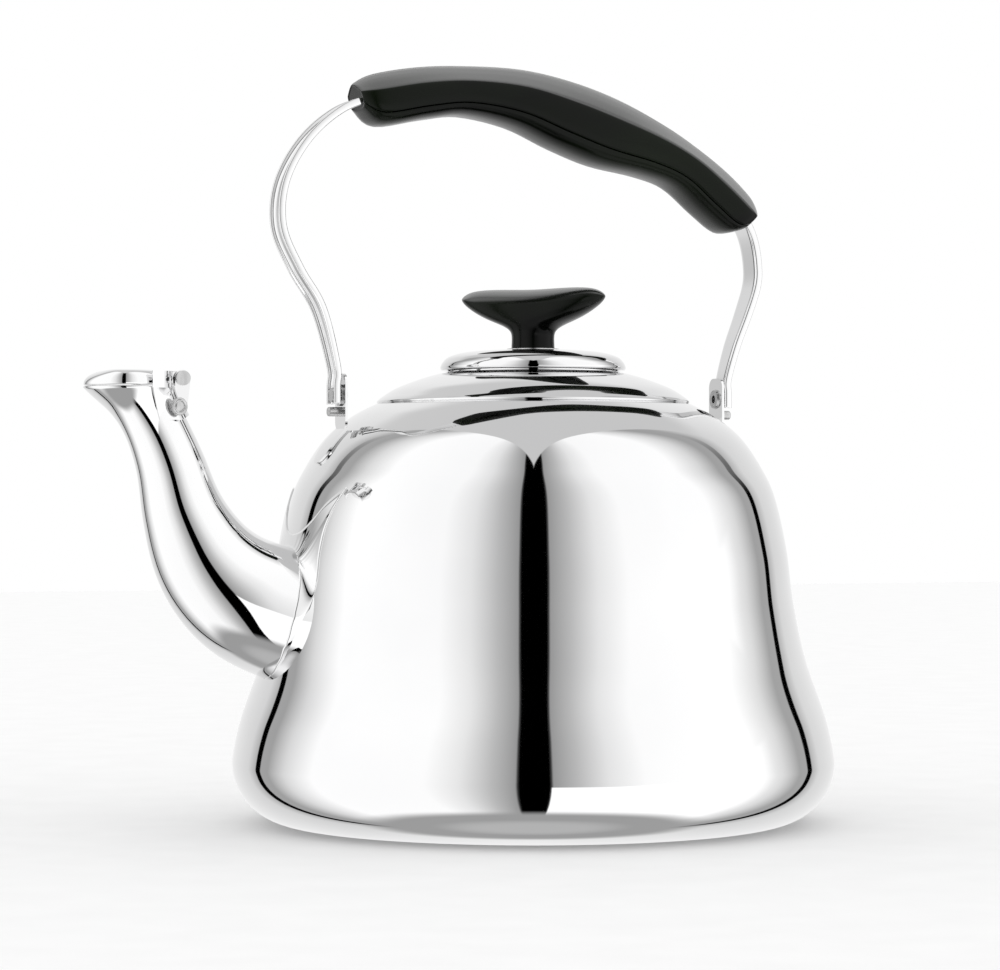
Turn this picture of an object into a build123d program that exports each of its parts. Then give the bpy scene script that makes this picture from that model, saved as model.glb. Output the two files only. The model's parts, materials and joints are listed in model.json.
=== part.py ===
from build123d import *
import math
import os

os.makedirs("parts", exist_ok=True)

# kettle standing on z = 0, its axis on Z, the spout towards -X, sizes in mm
wall = 0.8
widest_radius = 110.0
widest_height = 22.6
corner_radius = 22.3
floor_height = 5.0
recess_radius = 84.2
base_radius = 83.9
neck_radius = 30.2
lid_radius = 34.0
lid_top = 172.75
grip_width = 25.0
knob_turn = -50.0
pivot_height = 155.5
ear_face = 73.5
ear_thick = 0.9
ear_width = 11.7
washer_thick = 0.7
arm_width = 12.0
arm_end_width = 9.0
arm_end_drop = 3.2
arm_depth = 2.8
arm_sheet = 1.0
arm_centre = 76.8
arm_inner = arm_centre - arm_depth / 2
pivot_pin_radius = 2.0
stud_radius = 1.7
stud_drop = 5.9
running_gap = 0.05
moving_gap = 0.3
hinge_x = -134.2
hinge_z = 160.8
hinge_pin_radius = 1.3
mouth_x = -152.6
mouth_z = 157.7
mouth_long = 15.9
mouth_wide = 14.4
bracket_thick = 1.3
screw_radius = 1.6
strainer_radius = 2.6
strainer_pitch = 7.4

# half outline of the drawn body, widest ring up to the lap under the dome
body_curve = [
    (widest_radius, widest_height), (106.9, 38.0), (99.4, 60.0), (95.0, 81.0), (92.6, 100.0),
    (88.4, 118.7), (83.4, 129.7), (75.9, 140.6), (66.5, 148.3), (56.8, 153.3), (51.0, 155.6),
]
# half outline of the pressed dome, lap edge up to the lid seat
dome_curve = [(57.2, 154.0), (55.4, 155.5), (50.4, 158.6), (42.5, 161.7), (35.5, 163.8), (31.9, 164.5)]
# half outline of the lid, centre out to the rolled rim
lid_curve = [(9.8, lid_top), (18.3, 172.5), (26.0, 171.7), (31.2, 170.1), (33.3, 168.2), (lid_radius, 166.4)]

# spout stations from inside the body to the mouth: x, z, half width, outward and upward direction
spout_stations = [
    (-84.0, 75.0, 24.8, 9.0), (-97.0, 77.4, 24.1, 14.0), (-109.5, 82.8, 22.9, 27.0),
    (-119.3, 90.5, 20.7, 43.0), (-127.0, 101.0, 18.0, 59.0), (-133.2, 115.5, 14.6, 71.0),
    (-137.6, 131.2, 12.3, 72.0), (-143.1, 144.5, 11.2, 66.0), (-147.7, 152.5, 12.2, 73.0),
]

# grip stations, lower end x, z, upper end x, z, width across
grip_stations = [
    (-66.6, 257.4, -69.4, 267.6, 18.0), (-60.0, 252.4, -62.0, 271.6, 23.0),
    (-43.0, 255.6, -45.0, 274.6, grip_width), (-28.0, 257.4, -27.0, 275.8, grip_width),
    (-9.0, 254.0, -5.0, 275.5, 26.0), (8.0, 246.8, 15.0, 272.0, 27.0), (24.0, 241.2, 34.0, 266.0, 27.0),
    (42.0, 237.9, 52.0, 257.6, 26.0), (54.5, 233.8, 66.0, 249.1, grip_width),
    (65.8, 224.6, 78.0, 240.5, 24.0), (74.8, 218.2, 87.0, 232.0, 23.0), (82.0, 218.4, 90.0, 226.4, 18.0),
]


# points of a curve moved square to it, to its left for a positive distance
def shifted(points, distance):
    moved = []
    last = len(points) - 1
    for i in range(len(points)):
        before = points[max(i - 1, 0)]
        after = points[min(i + 1, last)]
        run = after[0] - before[0]
        rise = after[1] - before[1]
        length = math.hypot(run, rise)
        moved.append((points[i][0] - rise / length * distance, points[i][1] + run / length * distance))
    return moved


# everything inside the outer face of the body, as one turned solid
def body_envelope(mode):
    with BuildSketch(Plane.XZ) as half:
        with BuildLine():
            Spline(body_curve, tangents=[(0, 1), (-0.93, 0.37)])
            Line(body_curve[-1], (0, body_curve[-1][1]))
            Line((0, body_curve[-1][1]), (0, 0.3))
            Line((0, 0.3), (widest_radius - corner_radius, 0.3))
            CenterArc((widest_radius - corner_radius, widest_height), corner_radius, -90, 90)
        make_face()
    revolve(half.sketch, axis=Axis.Z, mode=mode)


# spout skin grown or shrunk by extra, run on past both ends by reach
def spout_form(extra, mode, reach=0):
    rings = []
    root_x, root_z, root_half, root_lean = spout_stations[0]
    stations = [(root_x + reach, root_z, root_half, root_lean)] + spout_stations[1:]
    for x, z, half, lean in stations:
        turn = math.radians(lean)
        station = Plane(origin=(x, 0, z), x_dir=(0, 1, 0), z_dir=(-math.cos(turn), 0, math.sin(turn)))
        with BuildSketch(station) as ring:
            Ellipse(half * 0.985 + extra, half + extra)
        rings.append(ring.sketch)
    with BuildSketch(Plane(origin=(mouth_x, 0, mouth_z + reach), x_dir=(0, 1, 0), z_dir=(0, 0, 1))) as ring:
        Ellipse(mouth_wide + extra, mouth_long + extra)
    rings.append(ring.sketch)
    loft(rings, mode=mode)


with BuildPart() as body_shell:
    inner_curve = shifted(body_curve, wall)
    inner_curve[0] = (widest_radius - wall, widest_height)
    corner_x = widest_radius - corner_radius
    with BuildSketch(Plane.XZ):
        with BuildLine():
            Spline(body_curve, tangents=[(0, 1), (-0.93, 0.37)])
            Line(body_curve[-1], inner_curve[-1])
            Spline(inner_curve, tangents=[(0, 1), (-0.93, 0.37)])
            CenterArc((corner_x, widest_height), corner_radius, -90, 90)
            CenterArc((corner_x, widest_height), corner_radius - wall, -90, 90)
            Polyline(
                (corner_x, 0.3), (recess_radius + 0.8, 0.3), (recess_radius, 1.1),
                (recess_radius, floor_height - 0.8), (recess_radius - 0.8, floor_height), (0, floor_height),
                (0, floor_height + wall), (recess_radius - 0.4, floor_height + wall),
                (recess_radius + wall, floor_height - 0.4), (recess_radius + wall, 1.7),
                (recess_radius + wall + 0.6, 0.3 + wall), (corner_x, 0.3 + wall),
            )
        make_face()
    revolve(axis=Axis.Z)
    with BuildSketch(Plane(origin=(-80, 0, 79), x_dir=(0, 1, 0), z_dir=(-1, 0, 0))):
        with HexLocations(strainer_pitch / 2, 5, 5):
            Circle(strainer_radius)
        Circle(19.5, mode=Mode.INTERSECT)
    extrude(amount=25, mode=Mode.SUBTRACT)
body_shell.part.label = "body_shell"
export_step(body_shell.part, "parts/body_shell.step")

with BuildPart() as base_core:
    with BuildSketch(Plane.XY.offset(0.6)):
        Circle(base_radius - 0.7)
    extrude(amount=floor_height - 0.6)
base_core.part.label = "base_core"
export_step(base_core.part, "parts/base_core.step")

with BuildPart() as base_cap:
    with BuildSketch(Plane.XZ):
        with BuildLine():
            Polyline(
                (0, 0), (base_radius - 0.9, 0), (base_radius, 0.9), (base_radius, floor_height - 0.9),
                (base_radius - 0.6, floor_height - 0.9), (base_radius - 0.6, 0.6), (0, 0.6), close=True,
            )
        make_face()
    revolve(axis=Axis.Z)
base_cap.part.label = "base_cap"
export_step(base_cap.part, "parts/base_cap.step")

with BuildPart() as shoulder_dome:
    under = shifted(dome_curve, wall)
    under = [(56.4, 153.2)] + under[1:]
    with BuildSketch(Plane.XZ):
        with BuildLine():
            Polyline(under[0], (57.2, 152.9), dome_curve[0])
            Spline(dome_curve, tangents=[(-0.6, 0.8), (-1, 0.1)])
            ThreePointArc(dome_curve[-1], (neck_radius + 0.5, 164.2), (neck_radius, 163.0))
            Polyline((neck_radius, 163.0), (neck_radius, 157.0), (neck_radius + wall, 157.0))
            Line((neck_radius + wall, 157.0), (neck_radius + wall, 163.0))
            Line((neck_radius + wall, 163.0), under[-1])
            Spline(under)
        make_face()
    revolve(axis=Axis.Z)
    body_envelope(Mode.SUBTRACT)
shoulder_dome.part.label = "shoulder_dome"
export_step(shoulder_dome.part, "parts/shoulder_dome.step")

with BuildPart() as spout_tube:
    spout_form(0, Mode.ADD)
    spout_form(-wall, Mode.SUBTRACT, 0.4)
    body_envelope(Mode.SUBTRACT)
spout_tube.part.label = "spout_tube"
export_step(spout_tube.part, "parts/spout_tube.step")

# skin laid on the body round the spout root, pointed below and winged above
with BuildPart() as spout_collar:
    with BuildSketch(Plane.XZ):
        with BuildLine():
            Spline([(106.9, 38.0), (99.4, 60.0), (95.0, 81.0), (92.6, 100.0), (88.4, 118.7), (83.4, 129.7)])
            Line((106.9, 38.0), (108.0, 38.4))
            Spline([(108.0, 38.4), (100.2, 60.3), (95.85, 81.1), (93.4, 100.1), (89.2, 119.0), (84.2, 130.0)])
            Line((83.4, 129.7), (84.2, 130.0))
        make_face()
    revolve(axis=Axis.Z)
    with BuildSketch(Plane(origin=(-60, 0, 0), x_dir=(0, -1, 0), z_dir=(-1, 0, 0))):
        with BuildLine():
            Spline([(0, 47.0), (14.5, 56.0), (24.0, 71.0), (26.5, 88.0), (28.0, 106.0), (32.5, 124.0)])
            Spline([(32.5, 124.0), (22.0, 113.5), (10.0, 108.0), (0, 107.0)])
            Spline([(0, 107.0), (-10.0, 108.0), (-22.0, 113.5), (-32.5, 124.0)])
            Spline([(-32.5, 124.0), (-28.0, 106.0), (-26.5, 88.0), (-24.0, 71.0), (-14.5, 56.0), (0, 47.0)])
        make_face()
    extrude(amount=60, mode=Mode.INTERSECT)
    body_envelope(Mode.SUBTRACT)
    spout_form(0, Mode.SUBTRACT)
spout_collar.part.label = "spout_collar"
export_step(spout_collar.part, "parts/spout_collar.step")

# saddle wrapped round the back of the mouth, side cheeks, and two lugs for the hinge pin
with BuildPart() as whistle_bracket:
    spout_form(bracket_thick, Mode.ADD)
    with BuildSketch(Plane.XZ.offset(-30)):
        with BuildLine():
            Polyline((-147.5, 157.5), (-126, 157.5), (-126, 150.5), (-136.0, 146.0), (-144.5, 146.0), close=True)
        make_face()
    extrude(amount=60, mode=Mode.INTERSECT)
    with BuildSketch(Plane.XY.offset(mouth_z - 0.6)):
        with Locations((mouth_x, 0)):
            Ellipse(mouth_long + bracket_thick, mouth_wide + bracket_thick)
            Ellipse(mouth_long + 0.4, mouth_wide + 0.4, mode=Mode.SUBTRACT)
        with Locations((-143.6, 0)):
            Rectangle(8.4, 40, mode=Mode.INTERSECT)
    extrude(amount=5.9)
    for side in (-1, 1):
        with BuildSketch(Plane.XZ.offset(-side * 4.4)):
            with Locations((hinge_x, hinge_z)):
                Circle(2.9)
            with BuildLine():
                Polyline((-136.9, 156.6), (hinge_x - 2.8, 160.0), (hinge_x + 2.8, 160.0), (-132.4, 151.5),
                         (-138.0, 151.0), close=True)
            make_face()
        extrude(amount=0.45, both=True)
    spout_form(0, Mode.SUBTRACT)
    with BuildSketch(Plane.XZ.offset(-10)):
        with Locations((hinge_x, hinge_z)):
            Circle(hinge_pin_radius)
    extrude(amount=20, mode=Mode.SUBTRACT)
whistle_bracket.part.label = "whistle_bracket"
export_step(whistle_bracket.part, "parts/whistle_bracket.step")

# one domed rivet on each side of the spout through the saddle
with BuildPart() as bracket_rivets:
    for side in (-1, 1):
        with BuildSketch(Plane(origin=(-141.8, 0, 150.6), x_dir=(0, 0, 1), z_dir=(0.32, side * 0.947, 0))):
            Circle(2.5)
        extrude(amount=14.6)
    fillet(bracket_rivets.edges().filter_by(GeomType.CIRCLE).sort_by(Axis.Y)[0], 0.8)
    fillet(bracket_rivets.edges().filter_by(GeomType.CIRCLE).sort_by(Axis.Y)[-1], 0.8)
    spout_form(bracket_thick, Mode.SUBTRACT)
bracket_rivets.part.label = "bracket_rivets"
export_step(bracket_rivets.part, "parts/bracket_rivets.step")

with BuildPart() as hinge_pin:
    with BuildSketch(Plane.XZ.offset(-5.2)):
        with Locations((hinge_x, hinge_z)):
            Circle(hinge_pin_radius)
    extrude(amount=10.4)
    for start in (-6.0, 4.85):
        with BuildSketch(Plane.XZ.offset(start)):
            with Locations((hinge_x, hinge_z)):
                Circle(2.6)
        extrude(amount=1.15)
hinge_pin.part.label = "hinge_pin"
export_step(hinge_pin.part, "parts/hinge_pin.step")

# flap over the mouth, a shallow cap with a rolled knuckle on its back edge
with BuildPart() as flap_cap:
    cap_low = mouth_z + moving_gap
    with BuildSketch(Plane.XY.offset(cap_low)):
        with Locations((mouth_x, 0)):
            Ellipse(mouth_long - 0.3, mouth_wide - 0.3)
    extrude(amount=5.8)
    fillet(flap_cap.edges().group_by(Axis.Z)[-1], 3.2)
    with BuildSketch(Plane.XY.offset(cap_low)):
        with Locations((mouth_x, 0)):
            Ellipse(mouth_long - 1.1, mouth_wide - 1.1)
    extrude(amount=2.4, mode=Mode.SUBTRACT)
    with BuildSketch(Plane.XY.offset(cap_low + 2.4)):
        with Locations((mouth_x, 0)):
            Ellipse(mouth_long - 1.1, mouth_wide - 1.1)
    extrude(amount=2.5, taper=38, mode=Mode.SUBTRACT)
    with BuildSketch(Plane.XZ.offset(-3.6)):
        with Locations((hinge_x, hinge_z)):
            Circle(2.5)
        with Locations((hinge_x - 2.6, hinge_z + 1.4)):
            Rectangle(4.0, 1.4)
    extrude(amount=7.2)
    with BuildSketch(Plane.XZ.offset(-3.6)):
        with Locations((hinge_x, hinge_z)):
            Circle(hinge_pin_radius + running_gap)
    extrude(amount=7.2, mode=Mode.SUBTRACT)
    with BuildSketch(Plane.XY.offset(cap_low)):
        with Locations((mouth_x, 0)):
            Circle(1.2)
    extrude(amount=8, mode=Mode.SUBTRACT)
flap_cap.part.label = "flap_cap"
export_step(flap_cap.part, "parts/flap_cap.step")

# small cup under the flap's hole, its own hole facing the steam
with BuildPart() as whistle_cup:
    cup_top = mouth_z + moving_gap + 4.9
    with BuildSketch(Plane.XZ):
        with BuildLine():
            Polyline(
                (1.2, cup_top - 3.6), (6.4, cup_top - 3.6), (6.4, cup_top - 0.6), (7.8, cup_top - 0.6),
                (7.8, cup_top), (5.8, cup_top), (5.8, cup_top - 3.0), (1.2, cup_top - 3.0), close=True,
            )
        make_face()
    revolve(axis=Axis.Z)
whistle_cup.part = whistle_cup.part.moved(Location((mouth_x, 0, 0)))
whistle_cup.part.label = "whistle_cup"
export_step(whistle_cup.part, "parts/whistle_cup.step")


# ear plates, each with a foot that follows the shoulder
for facing, place in ((-1, "front"), (1, "rear")):
    with BuildPart() as ear:
        with BuildSketch(Plane.XZ) as layer:
            with BuildLine():
                Spline([(86.4, 123.0), (83.4, 129.7), (75.9, 140.6), (71.5, 144.6)])
                Polyline((71.5, 144.6), (72.1, 145.5))
                Spline([(72.1, 145.5), (76.6, 141.3), (84.2, 130.2), (87.3, 123.4)])
                Polyline((87.3, 123.4), (86.4, 123.0))
            make_face()
        revolve(axis=Axis.Z)
        with BuildSketch(Plane.YZ.offset(facing * 60)):
            with Locations((0, 142.0)):
                SlotOverall(22.0, ear_width, rotation=90)
        extrude(amount=facing * 40, mode=Mode.INTERSECT)
        with BuildSketch(Plane.YZ.offset(facing * ear_face)) as outline:
            with Locations((0, 153.0)):
                Rectangle(ear_width, 20.6)
            fillet(outline.vertices().group_by(Axis.Z)[-1], 3.6)
        extrude(amount=facing * ear_thick)
        with BuildSketch(Plane.XZ.offset(-30)):
            with BuildLine():
                Polyline((facing * ear_face, 120), (facing * 60, 120), (facing * 60, 170),
                         (facing * ear_face, 170), close=True)
            make_face()
        extrude(amount=60, mode=Mode.SUBTRACT)
        body_envelope(Mode.SUBTRACT)
        with BuildSketch(Plane.YZ.offset(facing * 60)):
            with Locations((0, pivot_height)):
                Circle(pivot_pin_radius)
        extrude(amount=facing * 40, mode=Mode.SUBTRACT)
    ear.part.label = "ear_" + place
    export_step(ear.part, "parts/ear_" + place + ".step")

# hollow rivets through the ears, rolled over inside, headed in the channel of the arm, one pair
with BuildPart() as pivot_rivets:
    for facing in (-1, 1):
        with BuildSketch(Plane.YZ.offset(facing * ear_face)):
            with Locations((0, pivot_height)):
                Circle(3.7)
        extrude(amount=-facing * 0.9, taper=20)
        with BuildSketch(Plane.YZ.offset(facing * ear_face)):
            with Locations((0, pivot_height)):
                Circle(pivot_pin_radius)
        extrude(amount=facing * (arm_inner - ear_face + arm_sheet + moving_gap))
        with BuildSketch(Plane.YZ.offset(facing * (arm_inner + arm_sheet + moving_gap))):
            with Locations((0, pivot_height)):
                Circle(2.9)
        extrude(amount=facing * 1.2, taper=20)
        with BuildSketch(Plane.YZ.offset(facing * (ear_face - 0.9))):
            with Locations((0, pivot_height)):
                Circle(1.5)
        extrude(amount=facing * 2.5, mode=Mode.SUBTRACT)
pivot_rivets.part.label = "pivot_rivets"
export_step(pivot_rivets.part, "parts/pivot_rivets.step")

with BuildPart() as pivot_washers:
    for facing in (-1, 1):
        with BuildSketch(Plane.YZ.offset(facing * (ear_face + ear_thick))):
            with Locations((0, pivot_height)):
                Circle(3.9)
                Circle(pivot_pin_radius, mode=Mode.SUBTRACT)
        extrude(amount=facing * washer_thick)
pivot_washers.part.label = "pivot_washers"
export_step(pivot_washers.part, "parts/pivot_washers.step")

# studs under the arm ends that stop the handle before it meets the shoulder
with BuildPart() as stop_studs:
    for facing in (-1, 1):
        with BuildSketch(Plane.YZ.offset(facing * (ear_face + ear_thick))):
            with Locations((0, pivot_height - stud_drop)):
                Circle(stud_radius)
        extrude(amount=facing * 4.8)
    fillet(stop_studs.edges().filter_by(GeomType.CIRCLE).sort_by(Axis.X)[0], 0.6)
    fillet(stop_studs.edges().filter_by(GeomType.CIRCLE).sort_by(Axis.X)[-1], 0.6)
stop_studs.part.label = "stop_studs"
export_step(stop_studs.part, "parts/stop_studs.step")

arm_low = pivot_height - arm_end_drop
front_path = [(-arm_centre, 166.0), (-82.4, 186.4), (-91.0, 200.6), (-97.4, 215.5), (-96.2, 231.5),
              (-87.5, 247.0), (-74.2, 258.3), (-60.0, 262.8), (-42.0, 265.4)]
rear_path = [(arm_centre, 163.0), (80.2, 175.3), (84.5, 186.7), (88.2, 198.0), (88.6, 206.0),
             (86.9, 215.3), (83.4, 222.4), (77.0, 229.0), (68.0, 235.6), (56.0, 243.4)]

# screws up through the lower grip and the arm tangs: x, z of the head's seat, lean of the axis
screw_seats = ((-49.0, 257.4, 4.0), (65.0, 229.6, 40.0))



# strip outline seen along X, narrower at the pivot, less a margin on each edge
def arm_outline(margin):
    with BuildSketch(Plane.YZ.offset(-110)) as outline:
        with BuildLine():
            half_end = arm_end_width / 2 - margin
            half_top = arm_width / 2 - margin
            Polyline((-half_end, 140), (half_end, 140), (half_end, 163), (half_top, 192), (half_top, 300),
                     (-half_top, 300), (-half_top, 192), (-half_end, 163), close=True)
        make_face()
    extrude(outline.sketch, amount=220, mode=Mode.INTERSECT)


# pressed channel strip, open away from the kettle, swept up from its pivot end
for facing, place, arm_path in ((-1, "front", front_path), (1, "rear", rear_path)):
    with BuildPart() as hollow:
        with BuildLine(Plane.XZ) as spine:
            Line((facing * arm_centre, arm_low - 1), arm_path[0])
            Spline(arm_path, tangents=[(0, 1), (-facing * 0.85, 0.5)])
        with BuildSketch(Plane.XY.offset(arm_low - 1)):
            with Locations((facing * (arm_centre + arm_sheet / 2 + 0.1), 0)):
                Rectangle(arm_depth - arm_sheet + 0.2, arm_width)
        sweep(path=spine.wires()[0])
        arm_outline(arm_sheet)
    with BuildPart() as arm:
        with BuildLine(Plane.XZ) as spine:
            Line((facing * arm_centre, arm_low), arm_path[0])
            Spline(arm_path, tangents=[(0, 1), (-facing * 0.85, 0.5)])
        with BuildSketch(Plane.XY.offset(arm_low)):
            with Locations((facing * arm_centre, 0)):
                Rectangle(arm_depth, arm_width)
        sweep(path=spine.wires()[0])
        arm_outline(0)
        add(hollow.part, mode=Mode.SUBTRACT)
        with BuildSketch(Plane.YZ.offset(facing * 70)):
            with Locations((0, pivot_height)):
                Circle(pivot_pin_radius + running_gap)
        extrude(amount=facing * 20, mode=Mode.SUBTRACT)
        for seat_x, seat_z, lean in screw_seats:
            turn = math.radians(lean)
            seat = Plane(origin=(seat_x, 0, seat_z), x_dir=(0, 1, 0), z_dir=(math.sin(turn), 0, math.cos(turn)))
            with BuildSketch(seat):
                Circle(screw_radius + 0.2)
            extrude(amount=14, mode=Mode.SUBTRACT)
    arm.part.label = "arm_" + place
    export_step(arm.part, "parts/arm_" + place + ".step")


# whole grip as one loft of rounded sections
def grip_form():
    rings = []
    for low_x, low_z, high_x, high_z, across in grip_stations:
        run = high_x - low_x
        rise = high_z - low_z
        tall = math.hypot(run, rise)
        middle = ((low_x + high_x) / 2, 0, (low_z + high_z) / 2)
        station = Plane(origin=middle, x_dir=(run, 0, rise), z_dir=(rise, 0, -run))
        with BuildSketch(station) as ring:
            with BuildLine():
                shoulder = tall * 0.24
                edge = across * 0.46
                ThreePointArc((shoulder, -edge), (tall / 2, 0), (shoulder, edge))
                ThreePointArc((shoulder, edge), (0, across / 2), (-tall / 2, across * 0.44))
                Line((-tall / 2, across * 0.44), (-tall / 2, -across * 0.44))
                ThreePointArc((-tall / 2, -across * 0.44), (0, -across / 2), (shoulder, -edge))
            make_face()
            fillet(ring.vertices(), 1.6)
        rings.append(ring.sketch)
    loft(rings)


# room for the two arms, cut alike from both grip halves
def tang_slots():
    for facing, arm_path in ((-1, front_path), (1, rear_path)):
        with BuildLine(Plane.XZ) as spine:
            Line((facing * arm_centre, arm_low), arm_path[0])
            Spline(arm_path, tangents=[(0, 1), (-facing * 0.85, 0.5)])
        with BuildSketch(Plane.XY.offset(arm_low)) as slot:
            with Locations((facing * arm_centre, 0)):
                Rectangle(arm_depth + 0.3, arm_width + 0.3)
        sweep(slot.sketch, path=spine.wires()[0], mode=Mode.SUBTRACT)


# parting line, a fixed share of the way up each section
parting = []
for low_x, low_z, high_x, high_z, across in grip_stations:
    parting.append((low_x + 0.36 * (high_x - low_x), low_z + 0.36 * (high_z - low_z)))
parting[0] = (parting[0][0] - 3.0, parting[0][1] - 1.0)
parting[-1] = (parting[-1][0] + 4.0, parting[-1][1] - 3.5)

for half_name, far in (("grip_upper", 330), ("grip_lower", 180)):
    with BuildPart() as grip_half:
        grip_form()
        with BuildSketch(Plane.XZ.offset(-40)):
            with BuildLine():
                Spline(parting)
                Polyline(parting[-1], (parting[-1][0], far), (parting[0][0], far), parting[0])
            make_face()
        extrude(amount=80, mode=Mode.INTERSECT)
        tang_slots()
        for seat_x, seat_z, lean in screw_seats:
            turn = math.radians(lean)
            seat = Plane(origin=(seat_x, 0, seat_z), x_dir=(0, 1, 0), z_dir=(math.sin(turn), 0, math.cos(turn)))
            with BuildSketch(seat.offset(-8)):
                Circle(3.3)
            extrude(amount=8, mode=Mode.SUBTRACT)
            with BuildSketch(seat):
                Circle(screw_radius)
            extrude(amount=12, mode=Mode.SUBTRACT)
    grip_half.part.label = half_name
    export_step(grip_half.part, "parts/" + half_name + ".step")

with BuildPart() as grip_screws:
    for seat_x, seat_z, lean in screw_seats:
        turn = math.radians(lean)
        seat = Plane(origin=(seat_x, 0, seat_z), x_dir=(0, 1, 0), z_dir=(math.sin(turn), 0, math.cos(turn)))
        with BuildSketch(seat.offset(-1.8)):
            Circle(3.0)
        extrude(amount=1.8)
        with BuildSketch(seat.offset(-1.8)):
            Rectangle(3.4, 0.8)
            Rectangle(0.8, 3.4)
        extrude(amount=0.9, mode=Mode.SUBTRACT)
        with BuildSketch(seat):
            Circle(screw_radius)
        extrude(amount=11)
grip_screws.part.label = "grip_screws"
export_step(grip_screws.part, "parts/grip_screws.step")

with BuildPart() as lid_cap:
    with BuildSketch(Plane.XZ):
        with BuildLine():
            lid_under = [(9.8, lid_top - 0.7), (18.0, 171.8), (25.7, 171.0), (30.6, 169.5), (32.5, 167.7)]
            Spline(lid_curve, tangents=[(1, 0), (0.1, -1)])
            ThreePointArc(lid_curve[-1], (33.7, 165.3), (32.9, 165.0))
            Line((32.9, 165.0), (31.8, 165.3))
            Line((31.8, 165.3), (32.5, 167.7))
            Spline(lid_under, tangents=[(1, 0), (0.3, -1)])
            Polyline(lid_under[0], (0, lid_top - 0.7), (0, lid_top), lid_curve[0])
        make_face()
    revolve(axis=Axis.Z)
    with BuildSketch(Plane.XY.offset(165)):
        Circle(2.4)
    extrude(amount=10, mode=Mode.SUBTRACT)
lid_cap.part.label = "lid_cap"
export_step(lid_cap.part, "parts/lid_cap.step")

# ring inside the lid that drops into the neck
with BuildPart() as lid_skirt:
    with BuildSketch(Plane.XZ):
        with BuildLine():
            Polyline((29.0, 158.0), (neck_radius - 0.5, 158.0), (neck_radius - 0.5, 172.0), (25.0, 172.0),
                     (25.0, 169.6), (28.2, 168.6), (29.0, 167.8), close=True)
        make_face()
    revolve(axis=Axis.Z)
    with BuildSketch(Plane.XZ):
        with BuildLine():
            Spline(lid_under, tangents=[(1, 0), (0.3, -1)])
            Polyline((32.5, 167.7), (40, 167.7), (40, 180), (0, 180), (0, lid_top - 0.7), lid_under[0])
        make_face()
    revolve(axis=Axis.Z, mode=Mode.SUBTRACT)
lid_skirt.part.label = "lid_skirt"
export_step(lid_skirt.part, "parts/lid_skirt.step")

# saddle knob on a round stem: half length along it, low z, high z, width
knob_stations = [
    (-29.5, 190.2, 194.2, 8.0), (-27.0, 187.8, 196.4, 13.5), (-21.5, 184.9, 197.0, 17.5),
    (-12.5, 181.9, 196.2, 20.0), (0, 180.8, 195.6, 20.5), (12.5, 181.9, 196.2, 20.0),
    (21.5, 184.9, 197.0, 17.5), (27.0, 187.8, 196.4, 13.5), (29.5, 190.2, 194.2, 8.0),
]
washer_top = lid_top + 0.5
with BuildPart() as knob:
    for along, low, high, across in knob_stations:
        with BuildSketch(Plane(origin=(along, 0, (low + high) / 2), x_dir=(0, 1, 0), z_dir=(1, 0, 0))):
            Ellipse(across / 2, (high - low) / 2)
    loft()
    with BuildSketch(Plane.XZ):
        with BuildLine():
            Polyline((0, 188.0), (0, washer_top), (8.0, washer_top), (7.8, 178.0))
            Spline([(7.8, 178.0), (8.6, 181.2), (10.3, 184.6)], tangents=[(0, 1), (0.6, 0.8)])
            Polyline((10.3, 184.6), (8.0, 188.0), (0, 188.0))
        make_face()
    revolve(axis=Axis.Z)
    with BuildSketch(Plane.XY.offset(washer_top)):
        Circle(2.0)
    extrude(amount=12, mode=Mode.SUBTRACT)
knob.part = knob.part.rotate(Axis.Z, knob_turn)
knob.part.label = "knob"
export_step(knob.part, "parts/knob.step")

with BuildPart() as knob_washer:
    with BuildSketch(Plane.XY.offset(lid_top)):
        Circle(9.6)
        Circle(2.4, mode=Mode.SUBTRACT)
    extrude(amount=0.5)
knob_washer.part.label = "knob_washer"
export_step(knob_washer.part, "parts/knob_washer.step")

with BuildPart() as knob_screw:
    with BuildSketch(Plane.XY.offset(lid_top - 2.5)):
        Circle(4.2)
    extrude(amount=1.8)
    with BuildSketch(Plane.XY.offset(lid_top - 2.5)):
        Rectangle(5.0, 1.0)
        Rectangle(1.0, 5.0)
    extrude(amount=0.9, mode=Mode.SUBTRACT)
    with BuildSketch(Plane.XY.offset(lid_top - 0.7)):
        Circle(2.0)
    extrude(amount=12)
knob_screw.part.label = "knob_screw"
export_step(knob_screw.part, "parts/knob_screw.step")
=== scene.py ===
import json
import math

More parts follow.
